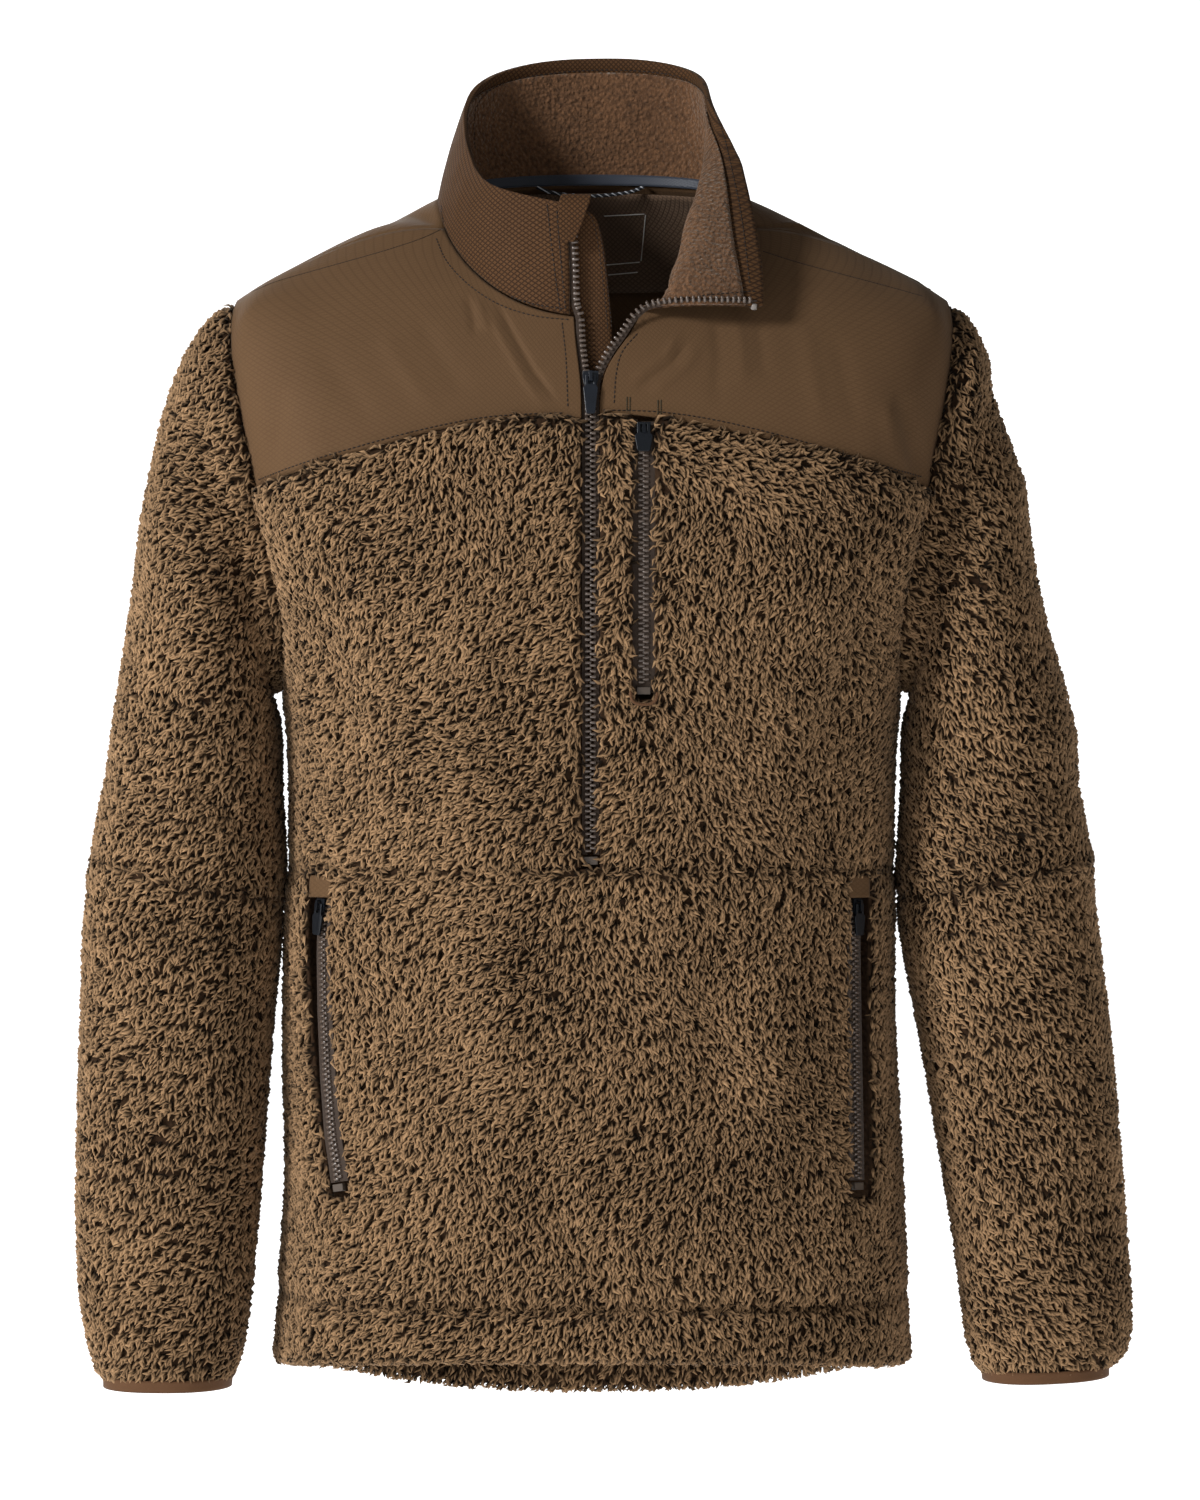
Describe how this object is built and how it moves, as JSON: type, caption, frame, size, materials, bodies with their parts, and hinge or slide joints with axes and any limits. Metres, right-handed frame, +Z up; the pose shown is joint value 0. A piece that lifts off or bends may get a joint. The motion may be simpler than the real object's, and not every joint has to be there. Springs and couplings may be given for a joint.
{
  "type": "sherpa fleece pullover",
  "caption": "Half-zip pullover of long-pile sherpa with smooth nylon yokes and stand collar, one collar end folded open, zipped chest and hand pockets, and a hem that drops at the back.",
  "frame": {"origin": "middle of the neck opening at shoulder-neck height, where the garment hangs on the wearer's shoulders", "axes": "+Z up, +Y to the wearer's back, +X to the wearer's left; the front faces -Y"},
  "size_m": [0.6532, 0.2589, 0.8543],
  "materials": {
    "sherpa": "long curly pile, matt",
    "yoke_nylon": "smooth woven nylon with a faint grid, soft sheen",
    "binding_nylon": "woven nylon binding",
    "microfleece": "short brushed fleece, matt",
    "neck_tape": "woven tape",
    "cord": "braided cord with light flecks",
    "zip_chain": "moulded teeth on woven tape",
    "zip_stop": "moulded, matt",
    "zip_metal_paint": "dark coated slider and pull"
  },
  "bodies": {
    "garment": {"yoke_front_right": "yoke_nylon", "chest_right": "sherpa", "yoke_front_left": "yoke_nylon", "chest_left": "sherpa", "front_lower": "sherpa", "yoke_back": "yoke_nylon", "back_body": "sherpa", "sleeve_upper_right": "sherpa", "sleeve_lower_right": "sherpa", "cuff_binding_right": "binding_nylon", "sleeve_upper_left": "sherpa", "sleeve_lower_left": "sherpa", "cuff_binding_left": "binding_nylon", "collar_outer": "yoke_nylon", "collar_inner": "microfleece", "neck_tape": "neck_tape", "back_neck_facing": "yoke_nylon", "hang_loop": "cord", "storm_flap": "yoke_nylon", "zip_garage": "yoke_nylon", "zip_tape_right": "zip_chain", "zip_tape_left": "zip_chain", "front_zip_slider": "zip_metal_paint", "front_zip_stop": "zip_stop", "chest_zip_tape": "zip_chain", "chest_zip_slider": "zip_metal_paint", "chest_zip_stop": "zip_stop", "pocket_zip_right_tape": "zip_chain", "pocket_zip_right_slider": "zip_metal_paint", "pocket_zip_right_stop": "zip_stop", "pocket_zip_right_garage": "yoke_nylon", "pocket_zip_left_tape": "zip_chain", "pocket_zip_left_slider": "zip_metal_paint", "pocket_zip_left_stop": "zip_stop", "pocket_zip_left_garage": "yoke_nylon"},
    "front_zip_pull_body": {"front_zip_pull": "zip_metal_paint"},
    "chest_zip_pull_body": {"chest_zip_pull": "zip_metal_paint"},
    "pocket_zip_right_pull_body": {"pocket_zip_right_pull": "zip_metal_paint"},
    "pocket_zip_left_pull_body": {"pocket_zip_left_pull": "zip_metal_paint"}
  },
  "joints": [
    {"name": "front_pull_swing", "type": "hinge", "parent": "garment", "child": "front_zip_pull_body", "pos_m": [-0.0006, -0.10766, -0.11715], "axis": [-1, 0.0002, 0], "range_deg": [0, 150]},
    {"name": "chest_pull_swing", "type": "hinge", "parent": "garment", "child": "chest_zip_pull_body", "pos_m": [0.03107, -0.11635, -0.14854], "axis": [-0.9999, -0.0167, 0.0041], "range_deg": [0, 110]},
    {"name": "right_pocket_pull_swing", "type": "hinge", "parent": "garment", "child": "pocket_zip_right_pull_body", "pos_m": [-0.16557, -0.06792, -0.43438], "axis": [-0.6021, 0.7939, 0.0852], "range_deg": [0, 80]},
    {"name": "left_pocket_pull_swing", "type": "hinge", "parent": "garment", "child": "pocket_zip_left_pull_body", "pos_m": [0.16221, -0.06983, -0.43453], "axis": [-0.6254, -0.7802, -0.0074], "range_deg": [0, 80]}
  ]
}
